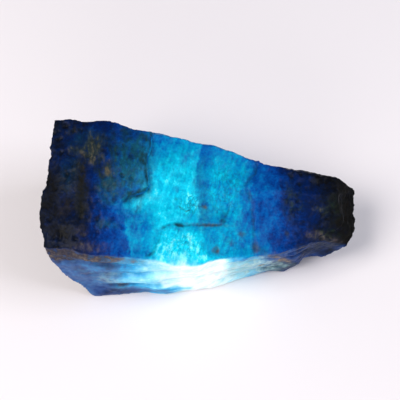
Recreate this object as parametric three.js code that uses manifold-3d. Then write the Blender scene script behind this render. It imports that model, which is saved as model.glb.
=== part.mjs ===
// Rough sapphire chunk: one natural, unpolished piece of corundum, lying on a flat parting face.
// It is a tapering, roughly seven-sided prism, thick at the blunt end and narrow at the tip.
// A broad crown faces up, a steep front face stands below its front ridge, a small foot juts out
// at the floor in front, and the tip overhangs behind that foot.
// Units are millimetres. +Z is up, +X runs along the stone to its tip, +Y to its back.
// The origin is the middle of the stone's bounding box, at the level that it rests on.

import * as THREE from "three";
import { ImprovedNoise } from "three/addons/math/ImprovedNoise.js";
import { mergeVertices } from "three/addons/utils/BufferGeometryUtils.js";
import Module from "manifold-3d";

const wasm = await Module();
wasm.setup();

// ---------------------------------------------------------------- driving dimensions

const FLOOR = 0; // height of the flat parting face that the stone rests on
const SUNK = -0.6; // the underside is modelled this low and then parted flat at FLOOR
const LENGTH_STEPS = 56; // mesh steps along the stone
const SIDE_STEPS = 14; // mesh steps on each side of the box that is wrapped round it
const RING_STEPS = 4 * SIDE_STEPS;
const WELD = 1e-3; // points closer than this are one

// The long edges of the stone, from the blunt end to the tip, in order round its section: under
// it from front to back, up its back, and forward over the crown. Each has its corners as
// [along, depth, height], and the mesh steps that the face behind it takes up to the next edge.
const EDGES = [
  {
    name: "front foot",
    steps: 14,
    corners: [
      [-20.5, -14.0, SUNK],
      [-16.0, -13.6, SUNK],
      [-10.0, -12.9, SUNK],
      [-1.0, -12.8, SUNK],
      [4.0, -10.8, SUNK],
      [9.5, -8.8, SUNK],
      [13.5, -8.2, SUNK],
      [16.2, -8.2, SUNK],
      [17.9, -7.2, SUNK],
      [19.6, -7.0, 3.4],
      [24.0, -7.6, 3.9],
      [26.3, -7.0, 5.0],
      [27.4, -6.5, 6.5],
    ],
  },
  {
    name: "back foot",
    steps: 8,
    corners: [
      [-24.0, 9.0, SUNK],
      [-16.0, 10.5, SUNK],
      [-5.0, 9.5, SUNK],
      [8.0, 6.5, SUNK],
      [18.0, 3.5, SUNK],
      [24.0, 2.5, 3.0],
      [28.0, 1.5, 5.5],
    ],
  },
  {
    name: "back shoulder",
    steps: 6,
    corners: [
      [-26.5, 12.0, 11.0],
      [-17.0, 14.0, 13.0],
      [-6.0, 12.0, 11.5],
      [6.0, 9.5, 11.5],
      [17.0, 7.0, 10.0],
      [26.0, 5.8, 9.0],
      [29.0, 4.0, 8.0],
    ],
  },
  {
    name: "crest",
    steps: 6,
    corners: [
      [-27.7, 12.5, 22.0],
      [-24.5, 12.6, 22.5],
      [-23.0, 12.2, 22.3],
      [-16.5, 12.1, 22.0],
      [-11.0, 10.9, 21.0],
      [-8.5, 10.8, 20.7],
      [-3.8, 10.6, 20.2],
      [1.5, 9.2, 19.2],
      [6.0, 8.6, 18.4],
      [11.0, 6.9, 17.2],
      [12.7, 6.0, 16.5],
      [16.5, 5.5, 16.0],
      [21.5, 4.8, 14.9],
      [25.2, 4.3, 14.1],
      [28.0, 4.0, 12.5],
      [29.8, 4.4, 10.0],
    ],
  },
  {
    name: "crown back",
    steps: 7,
    corners: [
      [-29.8, 0.8, 19.9],
      [-23.0, 2.2, 22.5],
      [-15.7, 2.2, 22.3],
      [-9.8, 3.0, 20.4],
      [-3.5, 2.3, 18.9],
      [3.0, 1.7, 18.0],
      [10.5, 0.5, 17.0],
      [19.2, 0.3, 15.5],
      [26.5, 0.5, 14.0],
      [30.6, 2.5, 9.5],
    ],
  },
  {
    name: "crown front",
    steps: 4,
    corners: [
      [-29.9, -8.0, 17.5],
      [-23.8, -8.3, 19.5],
      [-16.4, -8.9, 19.6],
      [-9.7, -8.4, 17.6],
      [-3.5, -7.6, 16.0],
      [3.0, -6.9, 15.5],
      [10.5, -6.3, 14.5],
      [19.2, -4.4, 13.0],
      [26.0, -4.5, 12.0],
      [30.7, -3.0, 8.5],
    ],
  },
  {
    name: "ridge",
    steps: 5,
    corners: [
      [-28.7, -11.7, 16.5],
      [-24.7, -12.6, 17.5],
      [-19.5, -13.8, 17.5],
      [-13.3, -14.0, 17.0],
      [-9.5, -13.7, 16.0],
      [-5.7, -14.1, 14.5],
      [-1.0, -13.7, 14.0],
      [3.0, -12.6, 13.5],
      [10.5, -11.4, 12.5],
      [13.6, -11.0, 12.0],
      [17.2, -9.4, 11.5],
      [21.0, -7.7, 11.0],
      [25.0, -7.4, 10.5],
      [28.0, -6.0, 8.0],
    ],
  },
  {
    name: "front face",
    steps: 6,
    corners: [
      [-26.7, -13.7, 8.8],
      [-20.0, -14.0, 9.0],
      [-13.0, -14.1, 9.0],
      [-1.7, -13.5, 7.5],
      [7.0, -11.8, 7.0],
      [12.7, -9.8, 5.5],
      [16.6, -8.9, 4.5],
      [19.7, -7.6, 5.2],
      [24.3, -7.5, 6.5],
      [27.6, -6.9, 7.2],
    ],
  },
];

const BLUNT_CENTRE = [-27.6, 0.0, 10.5]; // middle of the blunt end's broken face
const TIP_CENTRE = [30.6, -2.0, 8.0]; // middle of the tip's broken face

// The crown broke off in plates. Where none is left it lies this much below its long edges, and
// over this stretch it rises again, towards the blunt end, so that the oldest plate's edge fades.
const CROWN_DROP = 0.75;
const CROWN_RISE = [-16.5, -10.5];

// Plates that are left on it, and how far below the long edges they lie. Each outline is in
// plan, [along, depth], and runs BEYOND the stone where the plate meets its side. The old dark
// skin covers the blunt third, and a lower plate carries the tip.
const BEYOND = 40;
const PLATES = [
  {
    name: "dark skin",
    drop: 0,
    outline: [
      [-BEYOND, BEYOND],
      [-9.0, BEYOND],
      [-9.3, 8.0],
      [-10.0, 5.2],
      [-9.9, 2.8],
      [-9.5, 0.2],
      [-10.4, -1.6],
      [-12.3, -2.5],
      [-14.0, -3.5],
      [-15.2, -4.8],
      [-16.6, -5.6],
      [-16.6, -BEYOND],
      [-BEYOND, -BEYOND],
    ],
  },
  {
    name: "tip plate",
    drop: 0.35,
    outline: [
      [BEYOND, BEYOND],
      [BEYOND, -BEYOND],
      [10.6, -BEYOND],
      [10.2, -8.3],
      [10.0, -5.4],
      [9.5, -2.2],
      [9.0, 0.3],
      [9.4, 2.5],
      [10.6, 5.0],
      [11.4, BEYOND],
    ],
  },
];
const PLATE_BASE = 11; // the plates are cut out above this height

// Worn relief: smooth waves of two lengths, and scallops, which are shallow scars one to a cell
// that meet in low ridges. A surface counts as crown as its normal turns up past these limits.
const LUMP = { wave: 11, height: 0.6, shift: 3.7 };
const KNOB = { wave: 4.2, height: 0.34, shift: 11.3 };
const SCALLOP = { cell: 7.5, radius: 16, level: 0.5 };
const CROWN_FACING = [0.45, 0.8];
const CROWN_SHARE = 0.5; // the crown is this much as rough as the other sides
const SCATTER = [127.1, 311.7, 74.7, 19.9]; // any large, unlike factors scatter the scallops
const SCATTER_SCALE = 43758.5;

// Layered ledges down the front face. Each shelf runs from one [along, height] to another, is
// this deep, and the face above it leans back out over this rise.
const LEDGES = [
  { from: [-27.0, 12.6], to: [-9.0, 12.0], deep: 1.1, rise: 3.2 },
  { from: [-24.5, 8.2], to: [-1.0, 9.4], deep: 1.0, rise: 3.0 },
  { from: [-22.5, 3.6], to: [-6.0, 4.2], deep: 1.1, rise: 3.2 },
  { from: [-8.0, 5.4], to: [10.5, 6.6], deep: 0.9, rise: 2.6 },
  { from: [0.0, 9.8], to: [14.0, 9.2], deep: 0.8, rise: 2.2 },
  { from: [2.0, 2.2], to: [17.0, 2.8], deep: 0.9, rise: 2.6 },
  { from: [14.5, 7.4], to: [27.5, 6.4], deep: 0.8, rise: 1.8 },
  { from: [16.0, 9.6], to: [27.5, 8.2], deep: 0.5, rise: 1.0 },
];
const LEDGE_STEPS = 8;
const LEDGE_WAVER = 0.7; // how far a shelf wanders up and down
const LEDGE_REACH = 3; // how far a cut runs out past the face

// Shallow hollows pressed into the crown: [along, depth], radius and depth of each.
const HOLLOWS = [
  { at: [-24.0, -4.5], radius: 3.2, deep: 0.6 },
  { at: [-25.0, 9.6], radius: 2.2, deep: 0.5 },
  { at: [-19.5, 2.6], radius: 2.8, deep: 0.5 },
  { at: [-15.6, 7.4], radius: 2.2, deep: 0.5 },
  { at: [-20.5, -8.6], radius: 2.6, deep: 0.45 },
  { at: [4.8, -3.0], radius: 2.6, deep: 0.4 },
  { at: [5.6, 4.2], radius: 2.4, deep: 0.35 },
  { at: [18.5, -2.0], radius: 2.6, deep: 0.5 },
  { at: [22.5, 2.4], radius: 2.2, deep: 0.4 },
  { at: [24.0, -4.0], radius: 2.0, deep: 0.4 },
];

// Conchoidal flake scars: a ball of this radius bites this deep where its contact point lies.
const SCARS = [
  { at: [-1.8, -11.4, 14.6], out: [0, -0.45, 1], radius: 15, bite: 1.1 },
  { at: [-20, 13.6, 13], out: [-0.2, 1, 0.15], radius: 15, bite: 1.8 },
  { at: [-2, 11.6, 13], out: [0.1, 1, 0.3], radius: 12, bite: 1.4 },
  { at: [13, 7.6, 11], out: [0.1, 1, 0.2], radius: 11, bite: 1.3 },
  { at: [-8, 10.8, 4], out: [0, 1, -0.5], radius: 10, bite: 1.6 },
  { at: [-27.0, 5, 12.5], out: [-1, 0.3, 0.1], radius: 10, bite: 1.5 },
  { at: [-26.6, -5, 7], out: [-1, -0.2, -0.4], radius: 11, bite: 1.6 },
  { at: [29.4, 1, 6.5], out: [1, 0.2, -0.5], radius: 7, bite: 0.9 },
  { at: [22, 4.5, 5.5], out: [0.2, 0.8, -0.6], radius: 8, bite: 1.2 },
  { at: [29.4, -1.4, 9.4], out: [1, -0.1, 0.9], radius: 15, bite: 0.8 },
];
const SCAR_DETAIL = 7; // facets along an edge of the ball that makes a scar

// ---------------------------------------------------------------- small helpers

const noise = new ImprovedNoise();

/** Point of a long edge at this distance along the stone, or at its nearer end. */
function edgeAt(corners, along) {
  let i = 0;
  while (i < corners.length - 2 && corners[i + 1][0] < along) i += 1;
  const [a, b] = [corners[i], corners[i + 1]];
  const part = THREE.MathUtils.clamp((along - a[0]) / (b[0] - a[0]), 0, 1);
  return new THREE.Vector3(...a).lerp(new THREE.Vector3(...b), part);
}

/** Point of a long edge at a share of its reach, which differs from edge to edge. */
function pointOnEdge(corners, share) {
  const [first, last] = [corners[0], corners[corners.length - 1]];
  return edgeAt(corners, THREE.MathUtils.lerp(first[0], last[0], share));
}

/** Point on the stone's girth at a ring position of 0 to RING_STEPS and a share along. */
function pointOnRing(ring, share) {
  let left = ring % RING_STEPS;
  let i = 0;
  while (left >= EDGES[i].steps) {
    left -= EDGES[i].steps;
    i += 1;
  }
  const from = pointOnEdge(EDGES[i].corners, share);
  const to = pointOnEdge(EDGES[(i + 1) % EDGES.length].corners, share);
  return from.lerp(to, left / EDGES[i].steps);
}

/** Position round a square of half side 1, counted in ring steps from its front lower corner. */
function ringPosition(y, z) {
  const reach = Math.max(Math.abs(y), Math.abs(z));
  const [a, b] = [y / reach, z / reach];
  let side;
  if (b <= -1) side = (a + 1) / 2;
  else if (a >= 1) side = 1 + (b + 1) / 2;
  else if (b >= 1) side = 2 + (1 - a) / 2;
  else side = 3 + (1 - b) / 2;
  return side * SIDE_STEPS;
}

/** Merged, position-only copy of a geometry, with triangles that have collapsed left out. */
function welded(geometry) {
  const bare = geometry.clone();
  for (const name of ["normal", "uv"]) bare.deleteAttribute(name);
  const merged = mergeVertices(bare, WELD);
  const kept = [];
  const index = merged.index.array;
  for (let i = 0; i < index.length; i += 3) {
    const [a, b, c] = index.subarray(i, i + 3);
    if (a !== b && b !== c && a !== c) kept.push(a, b, c);
  }
  return merged.setIndex(kept);
}

/** The solid that a closed geometry bounds. */
function toSolid(geometry) {
  const merged = welded(geometry);
  return new wasm.Manifold(
    new wasm.Mesh({
      numProp: 3,
      vertProperties: merged.attributes.position.array,
      triVerts: new Uint32Array(merged.index.array),
    }),
  );
}

/** The surface of a solid. */
function toGeometry(solid) {
  const mesh = solid.getMesh();
  return new THREE.BufferGeometry()
    .setAttribute("position", new THREE.BufferAttribute(mesh.vertProperties, 3))
    .setIndex(new THREE.BufferAttribute(mesh.triVerts, 1));
}

// ---------------------------------------------------------------- relief

/** A fixed scattered number from 0 to 1 for a grid cell and an axis. */
function cellNumber(...cell) {
  const angle = cell.reduce((sum, c, i) => sum + c * SCATTER[i], 0);
  return THREE.MathUtils.euclideanModulo(Math.sin(angle) * SCATTER_SCALE, 1);
}

/** Squared distance from a point to the nearest of the seeds scattered one to a cell. */
function nearestSeed(p, cell) {
  const home = p.toArray().map((c) => Math.floor(c / cell));
  let best = Infinity;
  for (let n = 0; n < 27; n += 1) {
    const step = [n % 3, Math.floor(n / 3) % 3, Math.floor(n / 9)];
    const at = home.map((c, axis) => c + step[axis] - 1);
    const seed = at.map((c, axis) => (c + cellNumber(...at, axis)) * cell);
    best = Math.min(best, p.distanceToSquared(new THREE.Vector3(...seed)));
  }
  return best;
}

/** Smooth noise of one wavelength, from about -1 to 1. */
function waves(p, { wave, shift }) {
  return noise.noise(p.x / wave + shift, p.y / wave + shift, p.z / wave + shift);
}

/** How far the surface stands out from the plain faces at a point with this normal. */
function relief(p, normal, drop) {
  const up = THREE.MathUtils.smoothstep(normal.z, ...CROWN_FACING);
  const roughness = 1 - (1 - CROWN_SHARE) * up;
  let height = waves(p, LUMP) * LUMP.height + waves(p, KNOB) * KNOB.height;
  height += nearestSeed(p, SCALLOP.cell) / (2 * SCALLOP.radius) - SCALLOP.level;
  height *= roughness;
  height -= up * drop * THREE.MathUtils.smoothstep(p.x, ...CROWN_RISE);
  for (const { at, radius, deep } of HOLLOWS) {
    const reach = Math.hypot(p.x - at[0], p.y - at[1]) / radius;
    if (reach < 1) height -= up * deep * (1 - reach * reach) ** 2;
  }
  return height;
}

// ---------------------------------------------------------------- the stone

/** The plain faces between the long edges, wrapped from a finely stepped box. */
function plainStone() {
  const box = new THREE.BoxGeometry(2, 2, 2, LENGTH_STEPS, SIDE_STEPS, SIDE_STEPS);
  const places = box.attributes.position;
  const at = new THREE.Vector3();
  for (let i = 0; i < places.count; i += 1) {
    at.fromBufferAttribute(places, i);
    const share = (at.x + 1) / 2;
    const reach = Math.max(Math.abs(at.y), Math.abs(at.z));
    const centre = new THREE.Vector3(...(at.x > 0 ? TIP_CENTRE : BLUNT_CENTRE));
    const ring = reach > 0 ? pointOnRing(ringPosition(at.y, at.z), share) : centre;
    places.setXYZ(i, ...(reach < 1 ? centre.lerp(ring, reach) : ring));
  }
  return welded(box);
}

/** The same faces with lumps, hollows and flake scars, and the crown lowered by a drop. */
function roughStone(drop) {
  const stone = plainStone();
  stone.computeVertexNormals();
  const { position, normal } = stone.attributes;
  const p = new THREE.Vector3();
  const n = new THREE.Vector3();
  for (let i = 0; i < position.count; i += 1) {
    p.fromBufferAttribute(position, i);
    n.fromBufferAttribute(normal, i);
    p.addScaledVector(n, relief(p, n, drop));
    position.setXYZ(i, p.x, p.y, p.z);
  }
  return toSolid(stone);
}

/** A plate left on the crown, cut out of a stone whose whole crown lies at its level. */
function plate({ drop, outline }) {
  const plan = new THREE.Shape(outline.map(([x, y]) => new THREE.Vector2(x, y)));
  const cutter = new THREE.ExtrudeGeometry(plan, { depth: BEYOND, bevelEnabled: false });
  return roughStone(drop).intersect(toSolid(cutter.translate(0, 0, PLATE_BASE)));
}

/** How far forward the front face stands at a place along it and a height. */
function frontAt(along, height) {
  const [ridge, middle, foot] = ["ridge", "front face", "front foot"].map((name) =>
    edgeAt(EDGES.find((edge) => edge.name === name).corners, along),
  );
  const [low, high] = height < middle.z ? [foot, middle] : [middle, ridge];
  return THREE.MathUtils.mapLinear(height, low.z, high.z, low.y, high.y);
}

/** What is missing above one shelf of the front face: a long wedge that thins to its ends. */
function ledge({ from, to, deep, rise }) {
  const cut = new THREE.BoxGeometry(1, 1, 1, LEDGE_STEPS, 1, 1);
  const places = cut.attributes.position;
  for (let i = 0; i < places.count; i += 1) {
    const share = places.getX(i) + 0.5;
    const thinning = Math.sqrt(Math.max(0, Math.sin(Math.PI * share)));
    const along = THREE.MathUtils.lerp(from[0], to[0], share);
    const waver = waves(new THREE.Vector3(along, deep, from[1]), KNOB) * LEDGE_WAVER;
    const shelf = THREE.MathUtils.lerp(from[1], to[1], share) + waver;
    const isTop = places.getZ(i) > 0;
    const height = isTop ? shelf + rise : shelf;
    const inner = isTop ? -deep / 2 : deep * thinning;
    const shift = places.getY(i) > 0 ? inner : -LEDGE_REACH;
    places.setXYZ(i, along, frontAt(along, height) + shift, height);
  }
  return toSolid(cut);
}

/** The ball of rock that flew off where a flake scar is. */
function scar({ at, out, radius, bite }) {
  const centre = new THREE.Vector3(...out).setLength(radius - bite);
  centre.add(new THREE.Vector3(...at));
  const ball = new THREE.IcosahedronGeometry(radius, SCAR_DETAIL);
  return toSolid(ball.translate(centre.x, centre.y, centre.z));
}

/** A solid with all that lies below the floor parted off. */
function partedFlat(solid) {
  const slab = new THREE.BoxGeometry(4 * BEYOND, 4 * BEYOND, BEYOND);
  return solid.subtract(toSolid(slab.translate(0, 0, FLOOR - BEYOND / 2)));
}

let solid = roughStone(CROWN_DROP);
for (const left of PLATES) solid = solid.add(plate(left));
for (const shelf of LEDGES) solid = solid.subtract(ledge(shelf));
for (const flake of SCARS) solid = solid.subtract(scar(flake));
solid = partedFlat(solid);

const shape = toGeometry(solid);
shape.computeBoundingBox();
const middle = shape.boundingBox.getCenter(new THREE.Vector3());
shape.translate(-middle.x, -middle.y, -shape.boundingBox.min.z);
shape.computeVertexNormals();

const corundum = new THREE.MeshStandardMaterial({
  name: "sapphire rough",
  color: 0x0f4fa8,
  roughness: 0.45,
  metalness: 0,
});

const stone = new THREE.Mesh(shape, corundum);
stone.name = "sapphire_chunk";

const group = new THREE.Group();
group.add(stone);

export default group;
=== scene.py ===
"""Rough sapphire chunk: the looks of one natural, unpolished piece of blue corundum.

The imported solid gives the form. This script lays a finer skin over it, weathers that skin with
grain, cracks, pits and layers, marks where the stone is clear, skinned or iron-stained, and
gives it one translucent corundum material. Lengths in the classes are millimetres.
"""

import logging
import math
from dataclasses import dataclass
from enum import Enum

import bmesh
import bpy
import numpy as np
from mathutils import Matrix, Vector, noise


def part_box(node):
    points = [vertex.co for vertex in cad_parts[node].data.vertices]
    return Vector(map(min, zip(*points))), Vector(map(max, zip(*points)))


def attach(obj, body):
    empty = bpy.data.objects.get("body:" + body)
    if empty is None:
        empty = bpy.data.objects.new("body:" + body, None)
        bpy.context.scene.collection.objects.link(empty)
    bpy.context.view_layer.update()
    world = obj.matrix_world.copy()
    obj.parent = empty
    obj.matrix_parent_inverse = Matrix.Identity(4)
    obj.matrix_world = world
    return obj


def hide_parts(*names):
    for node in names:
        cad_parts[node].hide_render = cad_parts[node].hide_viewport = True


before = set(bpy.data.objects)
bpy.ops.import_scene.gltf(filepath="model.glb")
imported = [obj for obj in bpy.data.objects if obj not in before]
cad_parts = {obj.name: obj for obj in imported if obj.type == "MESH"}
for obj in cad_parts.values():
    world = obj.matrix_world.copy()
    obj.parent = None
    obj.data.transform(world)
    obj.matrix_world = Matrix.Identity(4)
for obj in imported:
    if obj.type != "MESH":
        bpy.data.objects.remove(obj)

MM = 0.001
NODE = "sapphire_chunk"
BODY = "root"

# The attributes that tell the material where the front face is, and how much light passes: the
# stone's own colour zones with painted glow of light shining through it.
FRONT_SHARE = "front"
LIGHT = "light"

# In each fractal noise, every octave is half as long and half as high as the one before.
OCTAVE_FADE = 1.0
OCTAVE_STEP = 2.0

# Further off than any place on the stone, in millimetres.
FAR = 1e3

log = logging.getLogger("sapphire_chunk")

Path = tuple[tuple[float, float], ...]
Stops = tuple[tuple[float, str], ...]
Fade = tuple[float, float]
Colour = tuple[float, float, float, float]
Tree = bpy.types.NodeTree
Socket = bpy.types.NodeSocket


# ------------------------------------------------------------------ small helpers


def srgb(code: str) -> Colour:
    """Turn an sRGB hex colour into the linear colour that nodes and lights take.

    Args:
        code: six hex digits, such as "1256ab".

    Returns:
        Linear red, green, blue and an alpha of 1.
    """
    parts = [int(code[i : i + 2], 16) / 255 for i in (0, 2, 4)]
    # The standard curve: a straight foot for the darkest values, then a power.
    lin = [c / 12.92 if c <= 0.04045 else ((c + 0.055) / 1.055) ** 2.4 for c in parts]
    return (lin[0], lin[1], lin[2], 1.0)


def ramp(low: float, high: float, x: np.ndarray) -> np.ndarray:
    """Rise smoothly from 0 at low to 1 at high, either way round.

    Args:
        low: value of x where the result is 0.
        high: value of x where the result is 1.
        x: the values to grade.

    Returns:
        The graded values, from 0 to 1.
    """
    t = np.clip((x - low) / (high - low), 0, 1)
    return t * t * (3 - 2 * t)


def along(path: Path, x: np.ndarray) -> np.ndarray:
    """Read the second value of a path at places given by its first."""
    return np.interp(x, [p[0] for p in path], [p[1] for p in path])


@dataclass(frozen=True)
class Grain:
    """Fractal noise with its own wavelength along each axis.

    Args:
        wave: wavelength along x, y and z, in millimetres.
        octaves: how many finer waves ride on the first.
        shift: where in the noise it is read, so that two grains differ.
    """

    wave: tuple[float, float, float]
    octaves: int = 3
    shift: float = 0.0

    def at(self, places: np.ndarray) -> np.ndarray:
        """Read the grain.

        Args:
            places: points in millimetres.

        Returns:
            A value for each, from about -1 to 1.
        """
        scaled = places / np.array(self.wave) + self.shift
        waves = (OCTAVE_FADE, OCTAVE_STEP, self.octaves)
        return np.array([noise.fractal(Vector(p), *waves) for p in scaled])


@dataclass(frozen=True)
class Stretch:
    """A stretch along the stone that fades in and out.

    Args:
        start: where it starts to fade in, in millimetres along the stone.
        whole: where it is whole.
        fading: where it starts to fade out.
        end: where it is gone.
    """

    start: float
    whole: float
    fading: float
    end: float

    def at(self, x: np.ndarray) -> np.ndarray:
        """Say how much of the stretch lies at each place along the stone, from 0 to 1."""
        return ramp(self.end, self.fading, x) * ramp(self.start, self.whole, x)


class Side(Enum):
    """The sides of the stone that marks are drawn on."""

    CROWN = "crown"
    FRONT = "front"
    BACK = "back"


# The two axes that places on each side are given along.
AXES = {Side.CROWN: (0, 1), Side.FRONT: (0, 2), Side.BACK: (0, 2)}


class Mark(Enum):
    """What a mark does to the stone, as the name of the attribute that holds it."""

    OCHRE = "ochre"
    RUST = "rust"
    OLIVE = "olive"
    SLATE = "slate"
    FILM = "film"
    TAN = "tan"
    RIND = "rind"
    TEAL = "teal"
    CRACK = "crack"
    CLEAR = "clear"
    DENSE = "dense"
    SCALY = "scaly"


# ------------------------------------------------------------------ what is drawn on the stone

# A seam's dark line is whole within the first share of its width, and gone past the second.
LINE_CORE, LINE_RIM = 0.2, 1.7
# How much of a line is left where it is most broken.
LINE_LEFT = 0.3
# A lip rises over the first length each side of its seam, and sinks back over the second.
LIP_RISE, LIP_FADE = 0.35, 1.5
# A change of light is blurred over the first length each side of a seam, and its edge strays by
# the second.
STEP_BLUR, STEP_STRAY = 0.25, 0.5
# A glow is whole within this share of its reach.
GLOW_CORE = 0.4
# A patch is whole within the first share of its reach, and gone past the second.
PATCH_CORE, PATCH_RIM = 0.3, 1.3
# How ragged its edge is, as a share of its reach.
PATCH_RAGGED = 0.45
# A pit's radius, as a share of the spacing of pits.
PIT_RADIUS = 0.42
# Spreads the pits' seeds, so that each pit has a draw of its own.
SEED_SPREAD = 37.0


@dataclass(frozen=True)
class Seam:
    """A crack or the edge of a broken plate, as a wandering line on the crown.

    Args:
        path: its corners in plan, in millimetres.
        width: how wide the dark line is.
        depth: how deep its groove is.
        lift: how far the surface on its left-hand side stands above it.
        dark: how dark its line is, from 0 to 1.
        step: how much more light the whole stone on its left-hand side passes, in its colour zones
            and painted glow.
        glow: how much more light passes just to its left, fading out over the reach, as painted
            glow.
        reach: how far that glow goes.
        taper: length over which each end fades out.
    """

    path: Path
    width: float = 0.3
    depth: float = 0.0
    lift: float = 0.0
    dark: float = 0.0
    step: float = 0.0
    glow: float = 0.0
    reach: float = 1.0
    taper: float = 1.5

    def trace(self, flat: np.ndarray) -> tuple[np.ndarray, np.ndarray]:
        """Measure how far places lie from the line.

        Args:
            flat: places in plan, two millimetre values each.

        Returns:
            Distances, positive to the left of the path and negative to its right, and how whole
            the line is at its nearest point, from 0 at its ends to 1.
        """
        best, walked, done = np.full(len(flat), FAR), np.zeros(len(flat)), 0.0
        for start, end in zip(self.path, self.path[1:]):
            a, run = np.array(start), np.array(end) - np.array(start)
            size = math.hypot(*run)
            t = np.clip((flat - a) @ run / size**2, 0, 1)
            away = flat - a - t[:, None] * run
            side = np.where(run[0] * away[:, 1] - run[1] * away[:, 0] < 0, -1.0, 1.0)
            gap = np.hypot(away[:, 0], away[:, 1]) * side
            nearer = np.abs(gap) < np.abs(best)
            best = np.where(nearer, gap, best)
            walked = np.where(nearer, done + t * size, walked)
            done += size
        return best, ramp(0, self.taper, np.minimum(walked, done - walked))

    def dark_at(self, flat: np.ndarray, stray: np.ndarray, whole: np.ndarray) -> np.ndarray:
        """Say how dark the line is.

        Args:
            flat: places in plan, two millimetre values each.
            stray: how far the line strays there, in millimetres.
            whole: how whole it is there, from 0 to 1.

        Returns:
            A value for each place, from 0 to 1.
        """
        gap, kept = self.trace(flat)
        line = ramp(LINE_RIM * self.width, LINE_CORE * self.width, np.abs(gap + stray))
        return self.dark * line * kept * (LINE_LEFT + (1 - LINE_LEFT) * whole)

    def height_at(self, flat: np.ndarray) -> np.ndarray:
        """Say how far the surface stands out, with the groove and the lip beside it.

        Args:
            flat: places in plan, two millimetre values each.

        Returns:
            Heights in millimetres.
        """
        gap, kept = self.trace(flat)
        groove = self.depth * np.exp(-((gap / self.width) ** 2))
        lip = self.lift * ramp(-LIP_RISE, LIP_RISE, gap) * np.exp(-np.maximum(gap, 0) / LIP_FADE)
        return kept * (lip - groove)

    def light_at(self, flat: np.ndarray, mottle: np.ndarray) -> np.ndarray:
        """Say how much more light the stone passes, as colour zones and painted glow.

        Args:
            flat: places in plan, two millimetre values each.
            mottle: the grain that the edge of the change strays with.

        Returns:
            What the seam adds to the light at each place.
        """
        gap, kept = self.trace(flat)
        edge = ramp(-STEP_BLUR, STEP_BLUR, gap + STEP_STRAY * mottle)
        near = ramp(self.reach, GLOW_CORE * self.reach, gap)
        return edge * (self.step + self.glow * kept * near)


@dataclass(frozen=True)
class Patch:
    """A stain, rind, cloud or clear spot with a ragged edge.

    Args:
        at: its middle on its side of the stone, in millimetres.
        reach: its half sizes.
        mark: what it is.
        strength: how much of it there is in the middle, from 0 to 1, or more to widen it.
        turn: how far it is turned on its side, in degrees.
    """

    at: tuple[float, float]
    reach: tuple[float, float]
    mark: Mark
    strength: float
    turn: float = 0.0

    def cover(self, flat: np.ndarray, ragged: np.ndarray) -> np.ndarray:
        """Say how much of the patch there is.

        Args:
            flat: places on its side of the stone, two millimetre values each.
            ragged: the grain that its edge follows.

        Returns:
            A value for each place, from 0 to its strength.
        """
        turn = math.radians(self.turn)
        aside, ahead = (flat - np.array(self.at)).T
        u = (aside * math.cos(turn) + ahead * math.sin(turn)) / self.reach[0]
        v = (ahead * math.cos(turn) - aside * math.sin(turn)) / self.reach[1]
        return self.strength * ramp(PATCH_RIM, PATCH_CORE, np.hypot(u, v) + PATCH_RAGGED * ragged)


@dataclass(frozen=True)
class Pitting:
    """A stretch of the crown where small pits stand close.

    Args:
        low: its lowest corner in plan, in millimetres.
        high: its highest corner.
        spacing: how far apart the pits are.
        share: how many of the places for a pit have one, from 0 to 1.
        depth: how deep the deepest are.
    """

    low: tuple[float, float]
    high: tuple[float, float]
    spacing: float
    share: float
    depth: float

    def depth_at(self, places: np.ndarray) -> np.ndarray:
        """Say how deep the pits are.

        Args:
            places: points in millimetres.

        Returns:
            A depth for each, in millimetres.
        """
        deep = np.zeros(len(places))
        inside = np.all((places[:, :2] > self.low) & (places[:, :2] < self.high), axis=1)
        for i in np.flatnonzero(inside):
            gaps, seeds = noise.voronoi(Vector(places[i]) / self.spacing)
            draw = noise.cell(seeds[0] * SEED_SPREAD)
            if draw < self.share:
                deep[i] = self.depth * (1 - draw) * (1 - min(gaps[0] / PIT_RADIUS, 1) ** 2)
        return deep


# The front ridge, between crown and front face: its depth and its height along the stone.
RIDGE_DEPTH: Path = (
    (-29, -10.6), (-25, -11.9), (-20, -13.2), (-14, -13.2), (-6, -13.1), (-1, -12.7),
    (3, -11.8), (5, -11.4), (10, -10.9), (14, -10.0), (17, -8.7), (21, -7.2), (24, -6.5),
    (30, -5.5),
)  # fmt: skip
RIDGE_HEIGHT: Path = (
    (-29, 16.5), (-25, 17.3), (-20, 17.4), (-14, 16.4), (-10, 15.0), (-6.5, 13.4),
    (-1, 12.7), (5, 12.6), (10, 12.4), (14, 11.6), (17, 11.6), (21, 11.1), (24, 10.3),
    (27, 8.3), (30, 7.2),
)  # fmt: skip

# How much light the stone passes, from 0 for black-blue to 1 for ice, along the stone: its own
# colour zones with painted glow of light shining through it.
CROWN_LIGHT: Path = (
    (-30, 0.06), (-26, 0.11), (-22.5, 0.15), (-20.5, 0.23), (-18, 0.34), (-14.4, 0.45),
    (-12, 0.58), (-10, 0.70), (-8, 0.80), (-4, 0.85), (-1, 0.82), (3, 0.74), (7, 0.68),
    (9, 0.61), (10.5, 0.59), (12.5, 0.56), (14, 0.50), (17, 0.38), (20, 0.31), (22, 0.25),
    (25, 0.12), (28, 0.07),
)  # fmt: skip
FRONT_LIGHT: Path = (
    (-30, 0.24), (-24, 0.33), (-18, 0.39), (-14, 0.53), (-12, 0.64), (-9, 0.76),
    (-6, 0.85), (-3.5, 0.95), (4, 0.96), (5.5, 0.84), (9, 0.72), (11.5, 0.52), (14, 0.30),
    (17, 0.18), (19, 0.10), (30, 0.04),
)  # fmt: skip

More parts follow.
